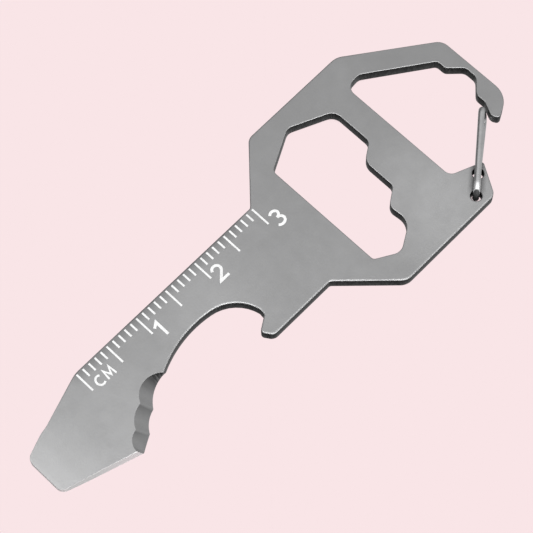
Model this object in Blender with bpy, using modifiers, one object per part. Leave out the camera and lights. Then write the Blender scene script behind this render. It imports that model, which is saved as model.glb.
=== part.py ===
"""Flat steel pocket multi-tool for painters, with a sprung wire gate on its clip end.

The plate is one stamped steel blank: a scraper and screwdriver tip, a serrated scallop, a bottle
opener, a ruled neck, a stepped hexagon opening and an open clip loop. The wire gate closes the loop.
X runs along the tool from its tip (-X) to its clip end (+X), Y across it (+Y is the ruled edge) and Z
out of the ruled face. The origin is the middle of the tool, at the lowest point of the wire.

The gate is one bent wire whose two ends turn in two holes. As it opens, the crossing at its far end
twists, so it is modelled as a front half and a rear half that meet in the middle of that crossing.
"""
import math

import bmesh
import bpy
from mathutils import Matrix, Vector

MM = 0.001                        # metres in a millimetre; every size below is in millimetres

# Plate
LENGTH = 74.8                     # tip to clip end
THICKNESS = 1.8
RULED_EDGE = 6.8                  # the neck's straight ruled edge
NECK_LOWER = -6.97                # the neck's other edge
HEAD_UPPER = 13.6
HEAD_LOWER = -13.68
EDGE_BREAK = 0.15                 # rounding on the plate's face edges
FACET_ANGLE = math.radians(9.0)   # largest turn between two points of an arc
FACET_LENGTH = 0.8                # largest distance between two points of an arc
FLAT_ANGLE = math.radians(1.0)    # faces closer than this lie in one plane

# Wrench opening: across-flats sizes of the three nuts that seat against its straight side
WRENCH_SIDE = 9.42
WRENCH_LARGE = 11.22
WRENCH_MEDIUM = 8.83
WRENCH_SMALL = 6.43

# Clip loop
LOOP_SIDE = 24.2                  # crossbar face inside the loop
LOOP_LIP = 34.75                  # inner face of the end bar beside its notch
NOTCH_FLOOR = 36.55

# Tip taper: both faces curve in towards the tip
TIP_THICKNESS = 0.8
TAPER_LENGTH = 8.0

# Serration: its wall slants outwards and its scallops grow shallower towards the rear face
CRESTS_FRONT = ((-18.4, -1.1), (-23.32, -1.53), (-26.03, -3.52), (-27.75, -5.95))
CRESTS_REAR = ((-17.95, -0.45), (-22.45, -2.7), (-24.92, -4.6), (-27.55, -6.1))
DEPTHS_FRONT = (1.47, 0.43, 0.68)
DEPTHS_REAR = (0.66, 0.31, 0.03)
SCALLOP_STEPS = 12

# Wire gate
WIRE_DIAMETER = 0.86
WIRE_GAP = 0.19                   # between a leg and the plate's face
BEND_RADIUS = 0.6                 # to the wire's middle
PIVOT_HOLE = 1.45
FRONT_PIVOT = (24.4, -12.1)       # hole that takes the wire's front end
REAR_PIVOT = (26.8, -10.25)       # hole that takes the wire's rear end
CROSSING = (33.55, -4.7)          # where the shut gate's wire crosses the plate's thickness
REAR_PIN_OFFSET = 0.15            # of the rear pin from its hole's middle, away from the crossing
PIN_REACH = 1.1                   # of a pin into its hole, from the plate's face
CROSSING_SPLIT = 0.25             # between the two halves of the crossing

WIRE_RADIUS = WIRE_DIAMETER / 2
REAR_FACE = WIRE_DIAMETER + WIRE_GAP
FRONT_FACE = REAR_FACE + THICKNESS
MIDDLE = REAR_FACE + THICKNESS / 2
TIP = -LENGTH / 2
CLIP_END = LENGTH / 2
WIRE_RESOLUTION = 3               # bevel resolution of the wire: ten sides
BEND_STEPS = 6
CUT_MARGIN = 1.0                  # how far a cutter runs past what it cuts


def clear_scene():
    """Start from an empty scene."""
    for obj in list(bpy.data.objects):
        bpy.data.objects.remove(obj, do_unlink=True)


def new_collection(name):
    """Add a collection under the scene's own."""
    collection = bpy.data.collections.new(name)
    bpy.context.scene.collection.children.link(collection)
    return collection


def new_material(name, color, roughness):
    """A bare steel material."""
    material = bpy.data.materials.new(name)
    material.use_nodes = True
    shader = material.node_tree.nodes["Principled BSDF"]
    shader.inputs["Base Color"].default_value = (*color, 1.0)
    shader.inputs["Metallic"].default_value = 1.0
    shader.inputs["Roughness"].default_value = roughness
    return material


def arc_steps(radius, sweep):
    """How many straight pieces stand for an arc."""
    by_turn = math.ceil(abs(sweep) / FACET_ANGLE)
    by_length = math.ceil(radius * abs(sweep) / FACET_LENGTH)
    return max(2, by_turn, by_length)


def arc(start, middle, end, steps=None):
    """Points on the circle through three points, from the first to the last."""
    (ax, ay), (bx, by), (cx, cy) = start, middle, end
    d = 2 * (ax * (by - cy) + bx * (cy - ay) + cx * (ay - by))
    a2 = ax * ax + ay * ay
    b2 = bx * bx + by * by
    c2 = cx * cx + cy * cy
    x = (a2 * (by - cy) + b2 * (cy - ay) + c2 * (ay - by)) / d
    y = (a2 * (cx - bx) + b2 * (ax - cx) + c2 * (bx - ax)) / d
    radius = math.hypot(ax - x, ay - y)
    first = math.atan2(ay - y, ax - x)
    half = math.remainder(math.atan2(by - y, bx - x) - first, math.tau)
    sweep = (math.atan2(cy - y, cx - x) - first) % math.tau
    if half < 0:
        sweep -= math.tau
    steps = steps or arc_steps(radius, sweep)
    angles = [first + sweep * i / steps for i in range(steps + 1)]
    return [(x + radius * math.cos(t), y + radius * math.sin(t), 0.0) for t in angles]


def circle(center, diameter):
    """A full circle as outline points."""
    count = round(math.tau / FACET_ANGLE)
    radius = diameter / 2
    angles = [math.tau * i / count for i in range(count)]
    return [(center[0] + radius * math.cos(t), center[1] + radius * math.sin(t), 0.0) for t in angles]


def rounded(corners):
    """Turn (x, y, radius) corners into plain points, with an arc at every corner that has a radius."""
    points = []
    for i, (x, y, radius) in enumerate(corners):
        corner = Vector((x, y))
        if radius == 0.0:
            points.append(corner)
            continue
        before = (Vector(corners[i - 1][:2]) - corner).normalized()
        after = (Vector(corners[(i + 1) % len(corners)][:2]) - corner).normalized()
        half = before.angle(after) / 2
        reach = radius / math.tan(half)
        center = corner + (before + after).normalized() * (radius / math.sin(half))
        first = corner + before * reach - center
        turn = first.angle_signed(corner + after * reach - center)
        steps = arc_steps(radius, turn)
        for k in range(steps + 1):
            points.append(center + Matrix.Rotation(-turn * k / steps, 2) @ first)
    return points


def outer_outline():
    """The blank's edge: tip, ruled neck, head, nose, clip loop, lug, neck and opener hook."""
    tip = [
        (TIP, -2.5, 1.1),
        (TIP, 3.15, 1.1),
        (-34.25, 4.25, 1.0),
        (-33.15, 4.45, 1.0),
        (-26.2, RULED_EDGE, 4.0),
    ]
    head = [
        (3.85, RULED_EDGE, 0.5),
        (10.5, HEAD_UPPER, 1.5),
        (26.3, HEAD_UPPER, 2.5),
        (CLIP_END, 5.45, 1.9),
    ]
    nose = [
        (CLIP_END, -5.5, 3.1),
        (34.35, -7.1, 0.45),
        (33.8, -6.1, 0.9),
        (34.7, -4.25, 0.8),
    ]
    notch = [
        (34.7, -2.82, 1.0),
        (NOTCH_FLOOR, -1.1, 1.1),
        (NOTCH_FLOOR, 0.75, 1.2),
        (LOOP_LIP, 2.55, 0.9),
    ]
    loop = [
        (LOOP_LIP, 3.92, 0.7),
        (26.5, 9.8, 1.3),
        (LOOP_SIDE, 9.6, 1.3),
        (LOOP_SIDE, -7.85, 1.2),
        (28.5, -9.6, 0.35),
    ]
    belly = [
        (26.05, HEAD_LOWER, 1.2),
        (10.25, HEAD_LOWER, 2.0),
        (3.65, NECK_LOWER, 0.6),
    ]
    hook = [
        (-6.05, NECK_LOWER, 1.1),
        (-7.0, -5.5, 0.5),
        (-5.0, -4.25, 0.4),
    ]
    opener = arc((-4.9, -3.4), (-6.1, -0.95), (-9.2, 0.75))
    opener += arc((-9.2, 0.75), (-14.05, 0.75), (-18.8, -0.85))[1:]
    heel = [(-24.9, -6.55, 0.0)]
    return tip + head + nose + notch + loop + belly + hook + opener + heel


def wrench_outline():
    """The stepped hexagon opening: three nut sizes against one straight side."""
    large = WRENCH_SIDE + WRENCH_LARGE
    medium = WRENCH_SIDE + WRENCH_MEDIUM
    small = WRENCH_SIDE + WRENCH_SMALL
    return [
        (WRENCH_SIDE, 8.25, 0.9),
        (14.87, 11.05, 1.3),
        (large, 8.42, 1.6),
        (large, 2.5, 1.0),
        (medium, 0.95, 1.8),
        (medium, -3.8, 0.9),
        (small, -5.4, 1.3),
        (16.2, -8.4, 2.2),
        (12.5, -10.57, 1.5),
        (WRENCH_SIDE, -8.75, 0.6),
    ]


def serration_outline(crests, depths):
    """Three scallops between four crests, each an arc of its own depth, closed outside the plate."""
    points = [crests[0]]
    for start, end, depth in zip(crests, crests[1:], depths):
        along = (Vector(end) - Vector(start)).normalized()
        middle = (Vector(start) + Vector(end)) / 2 + Vector((along.y, -along.x)) * depth
        points += [(x, y) for x, y, radius in arc(start, middle, end, SCALLOP_STEPS)[1:]]
    return points + [(-27.9, -8.2), (-17.3, -8.2), (-17.3, -1.8)]


def outline_curve(name, outlines, low, high):
    """A filled 2D curve, extruded from one height to another; inner outlines are holes."""
    data = bpy.data.curves.new(name, "CURVE")
    data.dimensions = "2D"
    data.fill_mode = "BOTH"
    data.extrude = (high - low) / 2 * MM
    for outline in outlines:
        spline = data.splines.new("POLY")
        spline.points.add(len(outline) - 1)
        for point, (x, y) in zip(spline.points, outline):
            point.co = (x * MM, y * MM, 0.0, 1.0)
        spline.use_cyclic_u = True
    obj = bpy.data.objects.new(name, data)
    obj.location.z = (low + high) / 2 * MM
    return obj


def to_mesh(curve, collection):
    """Replace a curve object by a closed mesh object at the same place."""
    collection.objects.link(curve)
    bpy.context.view_layer.update()
    evaluated = curve.evaluated_get(bpy.context.evaluated_depsgraph_get())
    mesh = bpy.data.meshes.new_from_object(evaluated)
    name = curve.name
    matrix = curve.matrix_world.copy()
    bpy.data.objects.remove(curve)
    shape = bmesh.new()
    shape.from_mesh(mesh)
    bmesh.ops.remove_doubles(shape, verts=shape.verts, dist=0.001 * MM)
    bmesh.ops.dissolve_limit(shape, angle_limit=FLAT_ANGLE, verts=shape.verts, edges=shape.edges)
    bmesh.ops.recalc_face_normals(shape, faces=shape.faces)
    shape.to_mesh(mesh)
    shape.free()
    obj = bpy.data.objects.new(name, mesh)
    obj.matrix_world = matrix
    collection.objects.link(obj)
    return obj


def make_cutter(obj):
    """Show an object as a wire cutter only."""
    obj.hide_render = True
    obj.display_type = "WIRE"
    return obj


def subtract(target, cutter):
    """Cut one object out of another."""
    modifier = target.modifiers.new("cut " + cutter.name, "BOOLEAN")
    modifier.operation = "DIFFERENCE"
    modifier.solver = "EXACT"
    modifier.object = cutter


def serration_cutter(collection):
    """A loft from the scallops of one face to those of the other, which runs on past both."""
    front = serration_outline(CRESTS_FRONT, DEPTHS_FRONT)
    rear = serration_outline(CRESTS_REAR, DEPTHS_REAR)
    shape = bmesh.new()
    rings = []
    for height in (REAR_FACE - CUT_MARGIN, REAR_FACE, FRONT_FACE, FRONT_FACE + CUT_MARGIN):
        depth = (FRONT_FACE - height) / THICKNESS
        outline = [Vector(a).lerp(Vector(b), depth) for a, b in zip(front, rear)]
        rings.append([shape.verts.new((x * MM, y * MM, height * MM)) for x, y in outline])
    shape.faces.new(rings[0])
    shape.faces.new(rings[-1])
    for low, high in zip(rings, rings[1:]):
        for i in range(len(low)):
            shape.faces.new((low[i - 1], low[i], high[i], high[i - 1]))
    bmesh.ops.recalc_face_normals(shape, faces=shape.faces)
    bmesh.ops.triangulate(shape, faces=shape.faces)
    mesh = bpy.data.meshes.new("serration_cutter")
    shape.to_mesh(mesh)
    shape.free()
    cutter = bpy.data.objects.new("serration_cutter", mesh)
    collection.objects.link(cutter)
    return make_cutter(cutter)


def taper_cutter(name, side, collection):
    """A block beyond one face at the tip, whose inner side is an arc that leaves the face without a crease.

    side is +1 for the ruled face and -1 for the rear face.
    """
    drop = (THICKNESS - TIP_THICKNESS) / 2
    radius = (TAPER_LENGTH ** 2 + drop ** 2) / (2 * drop)
    start = TIP + TAPER_LENGTH
    reach = math.asin((TAPER_LENGTH + CUT_MARGIN) / radius)
    steps = 12
    angles = [reach * i / steps for i in range(steps + 1)]
    profile = [(start - radius * math.sin(t), -radius * (1 - math.cos(t))) for t in angles]
    profile += [(profile[-1][0], CUT_MARGIN), (start + CUT_MARGIN, CUT_MARGIN), (start + CUT_MARGIN, 0.02)]
    placed = [(x, MIDDLE + side * (THICKNESS / 2 + out)) for x, out in profile]
    cutter = to_mesh(outline_curve(name, [placed], HEAD_LOWER, HEAD_UPPER), collection)
    cutter.matrix_world = Matrix.Rotation(math.radians(90.0), 4, "X")
    return make_cutter(cutter)


def build_plate(parts, cutters, material):
    """The stamped plate with every opening, taper and broken edge."""
    outlines = [rounded(outer_outline()), rounded(wrench_outline())]
    outlines += [rounded(circle(center, PIVOT_HOLE)) for center in (FRONT_PIVOT, REAR_PIVOT)]
    plate = to_mesh(outline_curve("tool_plate", outlines, REAR_FACE, FRONT_FACE), parts)
    plate.data.materials.append(material)
    bevel = plate.modifiers.new("edge break", "BEVEL")
    bevel.width = EDGE_BREAK * MM
    bevel.segments = 2
    bevel.limit_method = "ANGLE"
    bevel.angle_limit = math.radians(60.0)
    bevel.use_clamp_overlap = False
    bevel.loop_slide = False
    subtract(plate, serration_cutter(cutters))
    subtract(plate, taper_cutter("front_taper_cutter", 1, cutters))
    subtract(plate, taper_cutter("rear_taper_cutter", -1, cutters))
    return plate


def wire_path(side, pin, crossing):
    """Centreline of half the gate: pin, leg and half of the crossing, as points (x, y, z).

    side is +1 on the ruled face and -1 on the rear face; pin and crossing are points in plan.
    """
    face = MIDDLE + side * THICKNESS / 2
    level = face + side * (WIRE_GAP + WIRE_RADIUS)
    length = math.dist(pin, crossing)
    profile = [(0.0, face - side * PIN_REACH)]
    for i in range(BEND_STEPS + 1):
        angle = math.pi / 2 * i / BEND_STEPS
        rise = BEND_RADIUS * (1 - math.sin(angle))
        profile.append((BEND_RADIUS * (1 - math.cos(angle)), level - side * rise))
    for i in range(BEND_STEPS + 1):
        angle = math.pi / 2 * i / BEND_STEPS
        drop = BEND_RADIUS * (1 - math.cos(angle))
        profile.append((length - BEND_RADIUS * (1 - math.sin(angle)), level - side * drop))
    profile.append((length, MIDDLE + side * CROSSING_SPLIT / 2))
    along = Vector(crossing) - Vector(pin)
    return [(*(Vector(pin) + along * (reach / length)), height) for reach, height in profile]


def build_wire(name, side, pin, crossing, origin, parts, material):
    """One half of the wire gate, with its origin on its joint's axis."""
    data = bpy.data.curves.new(name, "CURVE")
    data.dimensions = "3D"
    data.bevel_depth = WIRE_RADIUS * MM
    data.bevel_resolution = WIRE_RESOLUTION
    data.use_fill_caps = True
    data.materials.append(material)
    path = wire_path(side, pin, crossing)
    spline = data.splines.new("POLY")
    spline.points.add(len(path) - 1)
    spline.use_smooth = True
    for point, (x, y, z) in zip(spline.points, path):
        point.co = ((x - origin[0]) * MM, (y - origin[1]) * MM, z * MM, 1.0)
    obj = bpy.data.objects.new(name, data)
    obj.location = (origin[0] * MM, origin[1] * MM, 0.0)
    parts.objects.link(obj)
    return obj


def build():
    """Make the whole tool."""
    clear_scene()
    parts = new_collection("painters_multi_tool")
    cutters = new_collection("cutters")
    plate_steel = new_material("satin_steel", (0.42, 0.42, 0.43), 0.42)
    wire_steel = new_material("bright_spring_steel", (0.52, 0.52, 0.53), 0.25)
    build_plate(parts, cutters, plate_steel)
    away = (Vector(REAR_PIVOT) - Vector(CROSSING)).normalized()
    rear_pin = Vector(REAR_PIVOT) + away * REAR_PIN_OFFSET
    build_wire("gate_wire_front", 1, FRONT_PIVOT, CROSSING, FRONT_PIVOT, parts, wire_steel)
    build_wire("gate_wire_rear", -1, rear_pin, CROSSING, CROSSING, parts, wire_steel)


build()
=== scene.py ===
"""Looks of the painters multi tool: a stamped satin-steel plate with an etched ruler and a wire gate.

Lengths are written in millimetres and turned into metres with MM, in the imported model's frame: +X runs
from the scraper tip to the clip end, +Y towards the ruled edge and +Z out of the ruled face. The plate
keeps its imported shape. The gate's two packed halves are shown as one bent wire, and the ruler is a set
of thin etched marks on the face.
"""
import math

import bmesh
import bpy
from mathutils import Euler, Matrix, Vector


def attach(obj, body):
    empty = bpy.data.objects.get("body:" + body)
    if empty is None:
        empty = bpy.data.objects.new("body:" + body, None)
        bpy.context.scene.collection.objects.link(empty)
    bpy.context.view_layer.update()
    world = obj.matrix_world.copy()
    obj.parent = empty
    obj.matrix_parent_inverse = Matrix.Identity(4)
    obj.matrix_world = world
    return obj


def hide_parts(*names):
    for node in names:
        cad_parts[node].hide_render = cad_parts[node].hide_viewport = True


MM = 0.001

# The plate's heights and outline marks, as the CAD has them
REAR_FACE = 1.05
FRONT_FACE = 2.85
RULED_EDGE = 6.8
FRONT_PIVOT = (24.4, -12.1)
REAR_PIVOT = (26.8, -10.25)
PIVOT_REACH = 0.9                 # a wall this near to a pivot's middle is the pivot hole's

# Areas of the plate, each as its range in X and its range in Y
SCALLOPS = ((-28.3, -18.0), (-6.5, 1.0))
WRENCH_OPENING = ((9.0, 21.2), (-11.5, 11.5))
CLIP_LOOP = ((24.0, 36.9), (-9.8, 11.0))
LOOP_CORNER = (31.0, -0.734)      # the loop's slanted side, as the line y = first + second * x
TIP_END = -33.2                   # the tip's end lies before this place along the tool
LOWER_TIP_EDGE = (-25.0, -2.0)    # the ground lower edge lies before and below this place

# The wire's shape
WIRE_RADIUS = 0.43
WIRE_GAP = 0.19                   # between a leg and the plate's face
WIRE_BEND = 0.85                  # bend radius of the wire's middle
FRONT_FAR = (33.55, -4.7)         # far end of the front leg
REAR_FAR = (33.87, -5.03)         # far end of the rear leg
FRONT_PIN_OFFSET = 0.26           # of each pin from its hole's middle
REAR_PIN_OFFSET = 0.15
PIN_SHORT = 0.45                  # how far each pin stops short of the other face
KNEE_REACH = 1.1                  # the front leg starts to dip this far before its pin
KNEE_DROP = 0.17
WIRE_LEAN = math.radians(-39.0)   # turns the shut gate's length onto X

# The broken edges: how far from an edge a tumbled surface starts to turn, and where it does so
EDGE_SOFTNESS = 0.28
EDGE_CRISPNESS = 0.05             # the same round the openings and at the ground tip
HEAD_SIDES = (10.9, 12.3)         # across the tool, the head's outer sides begin between these
NECK_END = (8.5, 6.5)             # along the tool, the head turns into the neck between these
SERRATION_END = (-19.0, -17.0)    # along the tool, the serration ends between these

# The darker strip of the face along the ruled edge
STRIP_WIDTH = 1.6
STRIP_START = (-27.5, -26.0)      # along the tool, it fades in and out between these
STRIP_END = (3.0, 1.0)

# Patches of painted light, where the face is coloured lighter: middle, reach and strength
PAINTED_LIGHT_PATCHES = (
    ((21.5, -9.5, FRONT_FACE), 11.0, 0.42),
    ((-8.0, 1.0, FRONT_FACE), 9.0, 0.2),
    ((21.5, -1.0, FRONT_FACE), 8.0, 0.06),
    ((25.0, 11.5, FRONT_FACE), 8.0, 0.06),
    ((-27.5, -1.5, FRONT_FACE), 9.0, 0.12),
)

# The ruler
MARK_LOW = FRONT_FACE - 0.01      # marks start just inside the face and stand a hair proud
MARK_HIGH = FRONT_FACE + 0.012
LAYER_STEP = 0.003                # a figure's second stroke lies this much higher than its first
RULER_ZERO = -26.12               # the first mark's place along the tool
RULER_GAPS = 30
LONG_EVERY = 5
TICK_TOP = 6.5
TICK_BOTTOM = 5.28
LONG_TICK_BOTTOM = 3.68
TICK_WIDTH = 0.25
RULER_TEXT = (                    # figure, place of its lower left corner, height and stroke width
    ("C", (-25.2, 3.27), 1.41, 0.27),
    ("M", (-23.85, 3.27), 1.41, 0.25),
    ("1", (-15.6, 2.33), 2.22, 0.36),
    ("2", (-5.63, 2.43), 2.22, 0.36),
    ("3", (4.58, 2.42), 2.22, 0.36),
)

# The stage
FLOOR_HEIGHT = -0.2
FLOOR_HALF_SIZE = 2000.0
FLOOR_TONE = (0.947, 0.783, 0.799)
FLOOR_SHADE = (0.01, 0.01, 0.01)
FLOOR_REACH = 20.0                # how far the floor looks for a cover above it
FLOOR_DARK = 0.08                 # share of open sky below which the floor under the tool is dark, a painted shadow
FLOOR_OPEN = 0.18                 # share above which it has its full tone
WORLD_ABOVE = (0.72, 0.42)        # light from above, from the tip's side to the clip's
WORLD_BELOW = (0.01, 0.55)        # light from below, from the near side to the far side
BELOW_LEAN = (0.75, 0.5, 0.0)
WORLD_MIDDLE = (0.08, 0.45)       # light near the horizon, from the tip's ruled side to the clip's lower side
MIDDLE_LEAN = (0.7, -0.7, 0.0)
LAMPS = (                         # name, place, direction of the long side, long and short side, strength
    ("lamp_main", (-130.0, -180.0, 560.0), (1.0, -1.0, 0.0), (950.0, 340.0), 3.5),
    ("lamp_side", (-245.0, -490.0, 200.0), (1.0, -0.5, 0.0), (400.0, 160.0), 4.2),
)

# The camera, as the perspective of the ruler and of the plate's parallel sides gives it
CAMERA_PLACE = (-71.815, -73.531, 252.426)
CAMERA_TURN = (22.317, 0.646, -45.794)     # degrees about X, Y and Z
CAMERA_LENS = 149.63
CAMERA_SENSOR = 36.0
CAMERA_CLIP = (10.0, 20000.0)


# --- node helpers -------------------------------------------------------------------------------

def steel(level):
    """A steel's grey, a touch bluer than neutral."""
    return (level, level, level * 1.006)


def grey(level):
    """A neutral grey."""
    return (level, level, level)


class Nodes:
    """A small builder for one node tree. Where a value is asked for, a socket may be given instead."""

    def __init__(self, tree):
        self.tree = tree

    def node(self, kind, **settings):
        node = self.tree.nodes.new(kind)
        for key, value in settings.items():
            setattr(node, key, value)
        return node

    def link(self, source, target):
        self.tree.links.new(source, target)

    def put(self, socket, value):
        if hasattr(value, "is_output"):
            self.link(value, socket)
        else:
            socket.default_value = value

    def math(self, operation, a, b=0.0):
        node = self.node("ShaderNodeMath", operation=operation)
        self.put(node.inputs[0], a)
        self.put(node.inputs[1], b)
        return node.outputs[0]

    def split(self, vector):
        """The X, Y and Z parts of a vector."""
        node = self.node("ShaderNodeSeparateXYZ")
        self.link(vector, node.inputs[0])
        return tuple(node.outputs)

    def with_fixed(self, operation, vector, fixed):
        """A number worked out from a vector and a fixed one: their dot product or their distance."""
        node = self.node("ShaderNodeVectorMath", operation=operation)
        self.link(vector, node.inputs[0])
        node.inputs[1].default_value = fixed
        return node.outputs["Value"]

    def span(self, value, low, high, to_low=0.0, to_high=1.0):
        """Map a range of a value to another range, clamped."""
        node = self.node("ShaderNodeMapRange", clamp=True)
        self.put(node.inputs["Value"], value)
        self.put(node.inputs["From Min"], low)
        self.put(node.inputs["From Max"], high)
        self.put(node.inputs["To Min"], to_low)
        self.put(node.inputs["To Max"], to_high)
        return node.outputs["Result"]

    def mix(self, share, a, b):
        """A colour between two colours."""
        node = self.node("ShaderNodeMix", data_type="RGBA")
        self.put(node.inputs["Factor"], share)
        for socket, color in ((node.inputs[6], a), (node.inputs[7], b)):
            self.put(socket, (*color, 1.0) if isinstance(color, tuple) else color)
        return node.outputs[2]


class Shader(Nodes):
    """A small builder for one Principled material."""

    def __init__(self, name, metallic=1.0, roughness=0.5):
        self.material = bpy.data.materials.new(name)
        self.material.use_nodes = True
        super().__init__(self.material.node_tree)
        self.bsdf = self.tree.nodes["Principled BSDF"]
        self.bsdf.inputs["Metallic"].default_value = metallic
        self.bsdf.inputs["Roughness"].default_value = roughness

    def place(self, scale=(1.0, 1.0, 1.0), angle=0.0):
        """Object coordinates in millimetres, turned about Z and stretched."""
        mapping = self.node("ShaderNodeMapping")
        mapping.inputs["Scale"].default_value = [s / MM for s in scale]
        mapping.inputs["Rotation"].default_value = (0.0, 0.0, angle)
        self.link(self.node("ShaderNodeTexCoord").outputs["Object"], mapping.inputs["Vector"])
        return mapping.outputs[0]

    def facing(self):
        """The X, Y and Z parts of the surface's direction."""
        return self.split(self.node("ShaderNodeNewGeometry").outputs["Normal"])

    def distance(self, center):
        """Distance in millimetres from a point."""
        return self.with_fixed("DISTANCE", self.place(), center)

    def open_sky(self, reach, samples):
        """The share of the sky above a point with nothing within a reach in millimetres."""
        node = self.node("ShaderNodeAmbientOcclusion", samples=samples)
        node.inputs["Distance"].default_value = reach * MM
        return node.outputs["AO"]

    def noise(self, vector, scale, detail=3.0, rough=0.5):
        node = self.node("ShaderNodeTexNoise")
        self.link(vector, node.inputs["Vector"])
        node.inputs["Scale"].default_value = scale
        node.inputs["Detail"].default_value = detail
        node.inputs["Roughness"].default_value = rough
        return node.outputs["Fac"]

    def edge_softness(self):
        """Rounding distance of the broken edges, in metres: less round the openings and at the tip."""
        x, y, _ = self.split(self.place())
        past_openings = self.span(self.math("ABSOLUTE", y), *HEAD_SIDES)
        on_neck = self.span(x, *NECK_END)
        behind_tip = self.span(x, *SERRATION_END)
        soft = self.math("MULTIPLY", self.math("MAXIMUM", past_openings, on_neck), behind_tip)
        return self.span(soft, 0.0, 1.0, EDGE_CRISPNESS * MM, EDGE_SOFTNESS * MM)

    def bump(self, height, strength, distance, rounding=None):
        """Fine relief. With a rounding, normals also turn softly within that distance of an edge."""
        node = self.node("ShaderNodeBump")
        if rounding is not None:
            soft = self.node("ShaderNodeBevel", samples=6)
            self.link(rounding, soft.inputs["Radius"])
            self.link(soft.outputs["Normal"], node.inputs["Normal"])
        node.inputs["Strength"].default_value = strength
        node.inputs["Distance"].default_value = distance * MM
        self.link(height, node.inputs["Height"])
        self.link(node.outputs["Normal"], self.bsdf.inputs["Normal"])

    def color(self, socket):
        self.link(socket, self.bsdf.inputs["Base Color"])

    def roughness(self, socket):
        self.link(socket, self.bsdf.inputs["Roughness"])


# --- materials ----------------------------------------------------------------------------------

def satin_face():
    """Tumbled stamped steel: cloudy satin with fine pits and patches of painted light, painted shade next to
    the wire, and darker in the ruled strip.
    """
    s = Shader("satin_face")
    where = s.place()
    cloud = s.noise(where, scale=0.16, detail=4.0, rough=0.55)
    patch = s.noise(where, scale=0.55, detail=4.0, rough=0.6)
    speck = s.noise(where, scale=3.2, rough=0.6)
    tone = s.math("ADD", s.math("MULTIPLY", cloud, 0.6), s.math("MULTIPLY", patch, 0.4))
    base = s.mix(s.span(tone, 0.3, 0.7), steel(0.425), steel(0.475))
    # painted light: patches of the face coloured lighter
    painted_light = 0.0
    for center, reach, share in PAINTED_LIGHT_PATCHES:
        painted_light = s.math("ADD", s.span(s.distance(center), reach, 0.0, 0.0, share), painted_light)
    base = s.mix(painted_light, base, steel(0.8))
    x, y, _ = s.split(where)
    beside_ruler = s.math("MULTIPLY", s.span(x, *STRIP_END), s.span(x, *STRIP_START))
    at_edge = s.span(y, RULED_EDGE - STRIP_WIDTH, RULED_EDGE, 0.0, 0.45)
    strip = s.math("MULTIPLY", beside_ruler, at_edge)
    base = s.mix(strip, base, grey(0.1))
    # painted shade: the face is coloured darker where the wire covers its sky
    painted_wire_shade = s.span(s.open_sky(reach=0.9, samples=8), 0.45, 1.0, 0.85, 0.0)
    s.color(s.mix(painted_wire_shade, base, grey(0.05)))
    s.roughness(s.span(patch, 0.3, 0.7, 0.46, 0.38))
    s.bump(speck, strength=0.25, distance=0.02, rounding=s.edge_softness())
    return s.material


def cut_wall():
    """The blanked edge: dark steel with streaky roughness, with painted shade that is deepest under the ruled
    face and fades to lighter grey towards the rear.
    """
    s = Shader("cut_wall")
    where = s.place()
    wander = s.noise(where, scale=1.1, rough=0.6)
    # painted shade: darker under the ruled face, lighter towards the rear face
    height = s.math("ADD", s.split(where)[2], s.math("MULTIPLY", s.math("SUBTRACT", wander, 0.5), 0.5))
    painted_wall_shade = s.span(height, FRONT_FACE - 0.3, REAR_FACE + 0.1)
    s.color(s.mix(painted_wall_shade, steel(0.14), steel(0.30)))
    streak = s.noise(s.place((1.0, 1.0, 0.15)), scale=5.0, rough=0.6)
    s.roughness(s.span(streak, 0.3, 0.7, 0.4, 0.65))
    s.bump(streak, strength=0.4, distance=0.03)
    return s.material


def edge_break(name, dull, bright):
    """The rounded rim between a face and a wall, tumbled to a grey between two tones, with painted shade on
    the neck.
    """
    s = Shader(name)
    where = s.place()
    wear = s.noise(where, scale=0.5)
    base = s.mix(s.span(wear, 0.3, 0.7), steel(dull), steel(bright))
    # painted shade: the rim is coloured darker on the neck
    on_neck = s.span(s.split(where)[0], 2.0, -3.0, 0.0, 0.35)
    s.color(s.mix(on_neck, base, grey(0.2)))
    s.roughness(s.span(wear, 0.3, 0.7, 0.42, 0.34))
    s.bump(wear, strength=0.1, distance=0.02, rounding=s.edge_softness())
    return s.material


def bore_wall_painted_shade():
    """The drilled wall of a pivot hole: dull, with faint drill lines, coloured nearly black as painted shade.
    """
    s = Shader("bore_wall_painted_shade", metallic=0.8, roughness=0.7)
    line = s.noise(s.place((0.4, 0.4, 6.0)), scale=1.6, rough=0.6)
    # painted shade: the bore's colour is nearly black
    s.color(s.mix(s.span(line, 0.3, 0.7), grey(0.006), grey(0.015)))
    s.bump(line, strength=0.2, distance=0.01)
    return s.material


def ground_tip_painted_light():
    """Tip end and lower tip edge: fine lines along the edge on a pale pinkish diffuse grey that is painted
    light and a painted reflection of the floor, duller towards the tip, with painted shade where it turns
    upwards.
    """
    s = Shader("ground_tip_painted_light", metallic=0.0)
    x, y, _ = s.split(s.place())
    ends = s.math("MAXIMUM", s.span(x, -33.0, -29.0), s.span(x, -36.4, -37.0))
    # painted light and painted reflection of the pale floor: paler towards the heel, the very end and the
    # upper side
    painted_reflection_share = s.math("MAXIMUM", ends, s.span(y, -1.5, 1.0))
    base = s.mix(painted_reflection_share, (0.72, 0.70, 0.70), (0.84, 0.78, 0.79))
    # painted shade: faces on the lower edge that turn upwards are coloured mid grey
    painted_shade_upward = s.math("MULTIPLY", s.span(s.facing()[2], 0.1, 0.6), s.span(y, 1.0, -1.5))
    base = s.mix(painted_shade_upward, base, grey(0.34))
    line = s.noise(s.place((0.4, 0.4, 9.0)), scale=1.6, rough=0.6)
    s.color(s.mix(s.span(line, 0.3, 0.7, 0.0, 0.08), base, grey(0.4)))
    s.roughness(s.span(line, 0.3, 0.7, 0.7, 0.55))
    s.bump(line, strength=0.2, distance=0.01)
    return s.material


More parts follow.
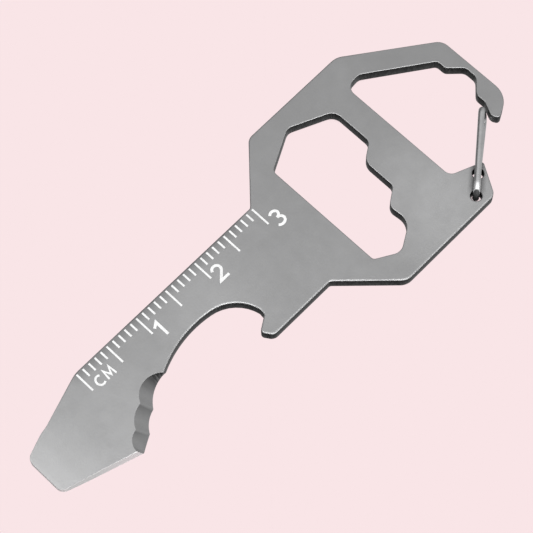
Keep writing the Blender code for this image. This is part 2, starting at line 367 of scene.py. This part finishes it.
def scallop_wall():
    """Milled serration: medium grey with cutter lines, with painted shade where it turns from the clip end.
    """
    s = Shader("scallop_wall")
    line = s.noise(s.place((6.0, 6.0, 0.6)), scale=2.0, detail=2.0)
    base = s.mix(s.span(line, 0.3, 0.7), steel(0.46), steel(0.53))
    # painted shade: coloured darker where the surface turns away from +X
    painted_scallop_shade = s.span(s.facing()[0], 0.05, 0.5, 0.8, 0.0)
    s.color(s.mix(painted_scallop_shade, base, steel(0.1)))
    s.roughness(s.span(line, 0.3, 0.7, 0.44, 0.5))
    s.bump(line, strength=0.1, distance=0.01)
    return s.material


def etched_white():
    """Laser-etched mark: chalky white with a faint raster."""
    s = Shader("etched_white", metallic=0.0, roughness=0.8)
    where = s.place()
    wear = s.noise(where, scale=4.0, rough=0.6)
    s.color(s.mix(s.span(wear, 0.3, 0.6), grey(0.7), grey(0.86)))
    raster = s.node("ShaderNodeTexWave", bands_direction="X")
    s.link(where, raster.inputs["Vector"])
    raster.inputs["Scale"].default_value = 5.0
    s.bump(raster.outputs["Fac"], strength=0.15, distance=0.005)
    return s.material


def spring_wire():
    """Bright drawn wire with lengthwise die lines and a little tarnish, a painted highlight near the front
    pin's bend, and painted shade, nearly black, inside the holes.
    """
    s = Shader("spring_wire")
    where = s.place()
    x, y, z = s.split(where)
    flat = s.node("ShaderNodeCombineXYZ")
    s.link(x, flat.inputs["X"])
    s.link(y, flat.inputs["Y"])
    from_pin = s.with_fixed("DISTANCE", flat.outputs[0], (*FRONT_PIVOT, 0.0))
    tarnish = s.noise(where, scale=0.9, rough=0.6)
    bright = s.mix(s.span(tarnish, 0.3, 0.7), steel(0.62), steel(0.76))
    # painted highlight: the wire is coloured lighter near the front pin's bend
    bright = s.mix(s.span(from_pin, 1.7, 1.0), bright, steel(0.88))
    half_plate = (FRONT_FACE - REAR_FACE) / 2
    from_middle = s.math("ABSOLUTE", s.math("SUBTRACT", z, REAR_FACE + half_plate))
    past_face = s.span(from_middle, half_plate - 0.15, half_plate + 0.15)
    # painted shade: nearly black and hardly metallic within the plate's thickness and down the front pin
    clear_of_hole_shade = s.math("MULTIPLY", past_face, s.span(from_pin, 0.42, 0.56))
    s.color(s.mix(clear_of_hole_shade, steel(0.045), bright))
    s.put(s.bsdf.inputs["Metallic"], s.span(clear_of_hole_shade, 0.0, 1.0, 0.1, 1.0))
    drawn = s.noise(s.place((0.25, 4.0, 4.0), WIRE_LEAN), scale=3.0, rough=0.6)
    satin = s.span(from_pin, 1.2, 2.2, 0.5, 0.34)
    s.roughness(s.math("ADD", satin, s.span(drawn, 0.3, 0.7, 0.0, 0.06)))
    s.bump(drawn, strength=0.2, distance=0.01)
    return s.material


# --- plate --------------------------------------------------------------------------------------

def make_plate(source):
    """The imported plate's own shape, with smooth walls and a material for each kind of surface."""
    finishes = {
        "face": satin_face(),
        "wall": cut_wall(),
        "rim": edge_break("edge_break", 0.46, 0.56),
        "painted_light_tip": ground_tip_painted_light(),
        "scallop": scallop_wall(),
        "bore": bore_wall_painted_shade(),
        # a darker copy of the rim round the openings, as painted shade
        "shaded_inner_rim": edge_break("shaded_inner_edge_break", 0.2, 0.28),
    }
    mesh = source.data.copy()
    mesh.name = "plate_skin"
    mesh.materials.clear()
    for material in finishes.values():
        mesh.materials.append(material)
    kinds = list(finishes)
    shape = bmesh.new()
    shape.from_mesh(mesh)
    bmesh.ops.remove_doubles(shape, verts=shape.verts, dist=0.002 * MM)
    bmesh.ops.dissolve_limit(shape, angle_limit=math.radians(0.5), verts=shape.verts, edges=shape.edges)
    bmesh.ops.recalc_face_normals(shape, faces=shape.faces)
    for face in shape.faces:
        face.smooth = True
        face.material_index = kinds.index(surface_kind(face))
    shape.to_mesh(mesh)
    shape.free()
    plate = bpy.data.objects.new("plate_skin", mesh)
    bpy.context.scene.collection.objects.link(plate)
    mark_sharp(plate, math.radians(32.0))
    weighted = plate.modifiers.new("weighted normals", "WEIGHTED_NORMAL")
    weighted.keep_sharp = True
    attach(plate, "plate")
    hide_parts("tool_plate")


def within(place, area):
    """Whether a place lies in an area that has a range in X and one in Y."""
    return all(low < at < high for at, (low, high) in zip(place, area))


def surface_kind(face):
    """Which finish a face of the plate has, from its slope and place."""
    normal = face.normal
    middle = face.calc_center_median() / MM
    if abs(normal.z) > 0.9:
        return "face"
    if within(middle, SCALLOPS) and 0.15 < normal.z < 0.85 and normal.y < 0.3:
        return "scallop"
    if middle.x < TIP_END or (middle.x < LOWER_TIP_EDGE[0] and middle.y < LOWER_TIP_EDGE[1]):
        return "painted_light_tip"
    if abs(normal.z) < 0.2:
        from_pivot = min(math.dist(middle[:2], pivot) for pivot in (FRONT_PIVOT, REAR_PIVOT))
        return "bore" if from_pivot < PIVOT_REACH else "wall"
    below_corner = middle.y < LOOP_CORNER[0] + LOOP_CORNER[1] * middle.x
    if within(middle, WRENCH_OPENING) or (within(middle, CLIP_LOOP) and below_corner):
        return "shaded_inner_rim"
    return "rim"


def mark_sharp(obj, angle):
    """Hard edges where faces meet at more than an angle."""
    shape = bmesh.new()
    shape.from_mesh(obj.data)
    for edge in shape.edges:
        edge.smooth = len(edge.link_faces) == 2 and edge.calc_face_angle() < angle
    shape.to_mesh(obj.data)
    shape.free()


# --- wire gate ----------------------------------------------------------------------------------

def rounded_path(corners, radius, steps=8):
    """A bent wire's centreline: straight runs between corners, with an arc at each inner corner."""
    points = [corners[0]]
    for before, corner, after in zip(corners, corners[1:], corners[2:]):
        back = (before - corner).normalized()
        ahead = (after - corner).normalized()
        half = back.angle(ahead) / 2
        center = corner + (back + ahead).normalized() * (radius / math.sin(half))
        first = corner + back * (radius / math.tan(half)) - center
        turn = math.pi - 2 * half
        axis = back.cross(ahead)
        for i in range(steps + 1):
            points.append(center + Matrix.Rotation(-turn * i / steps, 3, axis) @ first)
    points.append(corners[-1])
    return points


def tube(name, points):
    """A round, capped wire along points, as a mesh without material."""
    data = bpy.data.curves.new(name, "CURVE")
    data.dimensions = "3D"
    data.bevel_depth = WIRE_RADIUS * MM
    data.bevel_resolution = 6
    data.use_fill_caps = True
    spline = data.splines.new("POLY")
    spline.points.add(len(points) - 1)
    for point, at in zip(spline.points, points):
        point.co = (*(at * MM), 1.0)
    curve = bpy.data.objects.new(name + "_curve", data)
    bpy.context.scene.collection.objects.link(curve)
    bpy.context.view_layer.update()
    mesh = bpy.data.meshes.new_from_object(curve.evaluated_get(bpy.context.evaluated_depsgraph_get()))
    bpy.data.objects.remove(curve)
    mesh.materials.clear()
    shape = bmesh.new()
    shape.from_mesh(mesh)
    bmesh.ops.remove_doubles(shape, verts=shape.verts, dist=0.001 * MM)
    for face in shape.faces:
        face.smooth = True
    shape.to_mesh(mesh)
    shape.free()
    return mesh


def wire_half(name, corners, body, replaced, material):
    """One half of the bent wire, which rides on its body."""
    mesh = tube(name, rounded_path([Vector(corner) for corner in corners], WIRE_BEND))
    mesh.materials.append(material)
    wire = bpy.data.objects.new(name, mesh)
    bpy.context.scene.collection.objects.link(wire)
    mark_sharp(wire, math.radians(50.0))
    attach(wire, body)
    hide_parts(replaced)


def make_wire():
    """The bent wire gate, in two halves that meet inside the crossing, where the real wire twists."""
    top = FRONT_FACE + WIRE_GAP + WIRE_RADIUS
    bottom = REAR_FACE - WIRE_GAP - WIRE_RADIUS
    front_far = Vector((*FRONT_FAR, top))
    rear_far = Vector((*REAR_FAR, bottom))
    middle = (front_far + rear_far) / 2
    toward = (Vector(FRONT_FAR) - Vector(FRONT_PIVOT)).normalized()
    away = (Vector(REAR_PIVOT) - Vector(REAR_FAR)).normalized()
    front_pin = Vector(FRONT_PIVOT) + toward * FRONT_PIN_OFFSET
    rear_pin = Vector(REAR_PIVOT) + away * REAR_PIN_OFFSET
    knee = front_pin + toward * KNEE_REACH
    front = [
        (*front_pin, REAR_FACE + PIN_SHORT),
        (*front_pin, top - KNEE_DROP),
        (*knee, top),
        front_far,
        middle,
    ]
    rear = [middle, rear_far, (*rear_pin, bottom), (*rear_pin, FRONT_FACE - PIN_SHORT)]
    material = spring_wire()
    wire_half("gate_wire_front_half", front, "gate_front", "gate_wire_front", material)
    wire_half("gate_wire_rear_half", rear, "gate_rear", "gate_wire_rear", material)


# --- ruler --------------------------------------------------------------------------------------

def stroke_sides(path, width):
    """The left and right sides of a stroke of even width along a path, with mitred turns."""
    points = [Vector(p) for p in path]
    left, right = [], []
    for i, point in enumerate(points):
        before = (point - points[i - 1]).normalized() if i else None
        after = (points[i + 1] - point).normalized() if i + 1 < len(points) else None
        stretch = 1.0
        if before is None or after is None:
            run = before or after
        else:
            run = (before + after).normalized()
            stretch = 1 / max(0.35, abs(run.dot(before)))
        side = Vector((-run.y, run.x)) * (width / 2 * stretch)
        left.append(point + side)
        right.append(point - side)
    return left, right


def ribbon(shape, path, width, low, high):
    """Add a stroke with a rectangular section to a bmesh, as one closed shell."""
    rows = []
    for a, b in zip(*stroke_sides(path, width)):
        ring = ((a, high), (b, high), (b, low), (a, low))
        rows.append([shape.verts.new((p.x * MM, p.y * MM, z * MM)) for p, z in ring])
    for row, following in zip(rows, rows[1:]):
        for i in range(4):
            k = (i + 1) % 4
            shape.faces.new((row[i], row[k], following[k], following[i]))
    shape.faces.new(rows[0][::-1])
    shape.faces.new(rows[-1])


def bow(center, radius_x, radius_y, first, last, count=14):
    """Points on an ellipse's arc, angles in degrees."""
    out = []
    for i in range(count + 1):
        angle = math.radians(first + (last - first) * i / count)
        out.append((center[0] + radius_x * math.cos(angle), center[1] + radius_y * math.sin(angle)))
    return out


def glyphs():
    """Strokes of the ruler's figures and unit, each in a box from y=0 to y=1 with its own width."""
    one = [[(0.05, 0.74), (0.36, 0.96), (0.36, 0.0)]]
    two = [bow((0.34, 0.70), 0.27, 0.26, 165.0, -38.0) + [(0.07, 0.06), (0.68, 0.06)]]
    three = [bow((0.30, 0.73), 0.26, 0.22, 150.0, -90.0), bow((0.30, 0.26), 0.30, 0.25, 90.0, -150.0)]
    c = [bow((0.42, 0.5), 0.40, 0.45, 52.0, 308.0, 18)]
    m = [[(0.07, 0.0), (0.15, 0.95), (0.48, 0.2), (0.81, 0.95), (0.89, 0.0)]]
    return {"1": one, "2": two, "3": three, "C": c, "M": m}


def make_ruler():
    """Ticks each millimetre, longer every five, with figures each centimetre."""
    shape = bmesh.new()
    for i in range(RULER_GAPS + 1):
        x = RULER_ZERO + i
        bottom = TICK_BOTTOM if i % LONG_EVERY else LONG_TICK_BOTTOM
        ribbon(shape, [(x, TICK_TOP), (x, bottom)], TICK_WIDTH, MARK_LOW, MARK_HIGH)
    strokes = glyphs()
    for letter, corner, height, width in RULER_TEXT:
        for layer, path in enumerate(strokes[letter]):
            placed = [(corner[0] + x * height, corner[1] + y * height) for x, y in path]
            ribbon(shape, placed, width, MARK_LOW, MARK_HIGH + layer * LAYER_STEP)
    bmesh.ops.recalc_face_normals(shape, faces=shape.faces)
    mesh = bpy.data.meshes.new("ruler_marks")
    shape.to_mesh(mesh)
    shape.free()
    mesh.materials.append(etched_white())
    ruler = bpy.data.objects.new("ruler_marks", mesh)
    bpy.context.scene.collection.objects.link(ruler)
    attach(ruler, "plate")


# --- stage --------------------------------------------------------------------------------------

def make_floor():
    """A plain pale floor just under the tool, glowing evenly, with a painted shadow only where the tool hides
    nearly all sky.
    """
    shape = bmesh.new()
    bmesh.ops.create_grid(shape, x_segments=1, y_segments=1, size=FLOOR_HALF_SIZE * MM)
    mesh = bpy.data.meshes.new("floor")
    shape.to_mesh(mesh)
    shape.free()
    floor = bpy.data.objects.new("floor", mesh)
    floor.location.z = FLOOR_HEIGHT * MM
    bpy.context.scene.collection.objects.link(floor)
    s = Shader("pale_floor", metallic=0.0, roughness=1.0)
    s.bsdf.inputs["Base Color"].default_value = (0.0, 0.0, 0.0, 1.0)
    s.bsdf.inputs["Specular IOR Level"].default_value = 0.0
    s.bsdf.inputs["Emission Strength"].default_value = 1.0
    open_share = s.span(s.open_sky(FLOOR_REACH, samples=16), FLOOR_DARK, FLOOR_OPEN)
    s.link(s.mix(open_share, FLOOR_SHADE, FLOOR_TONE), s.bsdf.inputs["Emission Color"])
    mesh.materials.append(s.material)
    floor.visible_glossy = False
    floor.visible_diffuse = False


def soft_box(name, place, long_way, size, radiance):
    """A rectangular soft light that faces the tool, with its long side along a given direction."""
    data = bpy.data.lights.new(name, "AREA")
    data.shape = "RECTANGLE"
    data.size, data.size_y = (side * MM for side in size)
    data.energy = radiance * math.pi * data.size * data.size_y
    light = bpy.data.objects.new(name, data)
    back = Vector(place).normalized()
    side = (Vector(long_way) - back * back.dot(Vector(long_way))).normalized()
    turn = Matrix((side, back.cross(side), back)).transposed()
    light.matrix_world = Matrix.Translation(Vector(place) * MM) @ turn.to_4x4()
    bpy.context.scene.collection.objects.link(light)


def make_studio():
    """Soft light from above, dark surroundings below the tool, and two soft lamps."""
    world = bpy.data.worlds.new("studio")
    world.use_nodes = True
    background = world.node_tree.nodes["Background"]
    w = Nodes(world.node_tree)
    way = w.node("ShaderNodeTexCoord").outputs["Generated"]
    x, _, z = w.split(way)
    below = w.span(w.with_fixed("DOT_PRODUCT", way, BELOW_LEAN), -0.33, 0.35, *WORLD_BELOW)
    middle = w.span(w.with_fixed("DOT_PRODUCT", way, MIDDLE_LEAN), -0.5, 0.5, *WORLD_MIDDLE)
    above = w.span(x, -0.3, 0.7, *WORLD_ABOVE)
    lower = w.span(z, -0.6, -0.2, below, middle)
    w.link(w.span(z, 0.35, 0.75, lower, above), background.inputs["Strength"])
    background.inputs["Color"].default_value = (1.0, 1.0, 1.0, 1.0)
    bpy.context.scene.world = world
    for name, place, long_way, size, radiance in LAMPS:
        soft_box(name, place, long_way, size, radiance)


def make_camera():
    """The camera at the photo's viewing angle and distance."""
    data = bpy.data.cameras.new("camera")
    data.lens = CAMERA_LENS
    data.sensor_width = CAMERA_SENSOR
    data.clip_start, data.clip_end = (end * MM for end in CAMERA_CLIP)
    camera = bpy.data.objects.new("camera", data)
    turn = Euler([math.radians(angle) for angle in CAMERA_TURN]).to_matrix()
    camera.matrix_world = Matrix.Translation(Vector(CAMERA_PLACE) * MM) @ turn.to_4x4()
    bpy.context.scene.collection.objects.link(camera)
    bpy.context.scene.camera = camera


# --- whole scene --------------------------------------------------------------------------------

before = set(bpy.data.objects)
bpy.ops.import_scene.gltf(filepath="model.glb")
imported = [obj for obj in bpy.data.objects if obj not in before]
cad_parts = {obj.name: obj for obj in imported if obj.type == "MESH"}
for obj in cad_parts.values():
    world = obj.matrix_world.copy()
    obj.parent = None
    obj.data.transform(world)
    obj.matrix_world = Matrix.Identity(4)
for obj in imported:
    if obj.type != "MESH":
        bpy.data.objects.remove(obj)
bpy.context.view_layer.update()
bpy.context.scene.view_settings.view_transform = "Standard"
bpy.context.scene.view_settings.look = "None"

make_plate(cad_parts["tool_plate"])
make_wire()
make_ruler()
make_floor()
make_studio()
make_camera()

bpy.context.view_layer.update()
